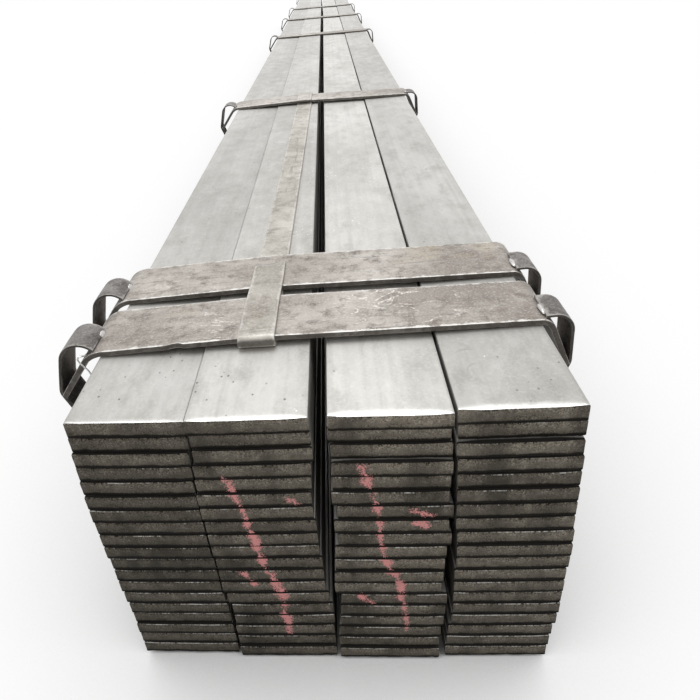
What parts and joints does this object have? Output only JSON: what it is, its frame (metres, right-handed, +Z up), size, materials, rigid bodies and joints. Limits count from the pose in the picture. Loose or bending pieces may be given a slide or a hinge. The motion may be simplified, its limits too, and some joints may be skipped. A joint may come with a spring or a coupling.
{
  "type": "steel flat bar bundle",
  "caption": "Long bundle of hot-rolled steel flat bars in stacked columns, held by wide cap bands and narrow straps that make an ear at each top corner.",
  "frame": {"origin": "on the floor under the middle of the bundle's length, on the underside of the strap there", "axes": "+Y along the bars, away from the pictured end; +X across the bundle to the right as pictured; +Z up"},
  "size_m": [0.3766, 6.0233, 0.248],
  "materials": {
    "bars": "hot-rolled mill scale, dull with soft sheen, dark sheared ends",
    "cap_bands": "brown-grey mottled mill scale with scuffed bright edges and light rust",
    "straps": "dull grey hot-rolled strip",
    "tie_strip": "dull brown-grey hot-rolled strip",
    "wire": "bright bare wire"
  },
  "bodies": {
    "root": {"bars_column_1": "bars", "bars_column_2": "bars", "bars_column_3": "bars", "bars_column_4": "bars", "cap_band_1": "cap_bands", "cap_band_2": "cap_bands", "cap_band_3": "cap_bands", "cap_band_4": "cap_bands", "cap_band_5": "cap_bands", "cap_band_6": "cap_bands", "cap_band_7": "cap_bands", "cap_band_8": "cap_bands", "cap_band_9": "cap_bands", "strap_1": "straps", "strap_2": "straps", "strap_3": "straps", "strap_4": "straps", "strap_5": "straps", "strap_6": "straps", "strap_7": "straps", "strap_8": "straps", "strap_9": "straps", "tie_strip": "tie_strip", "tag_wire": "wire"}
  },
  "joints": []
}
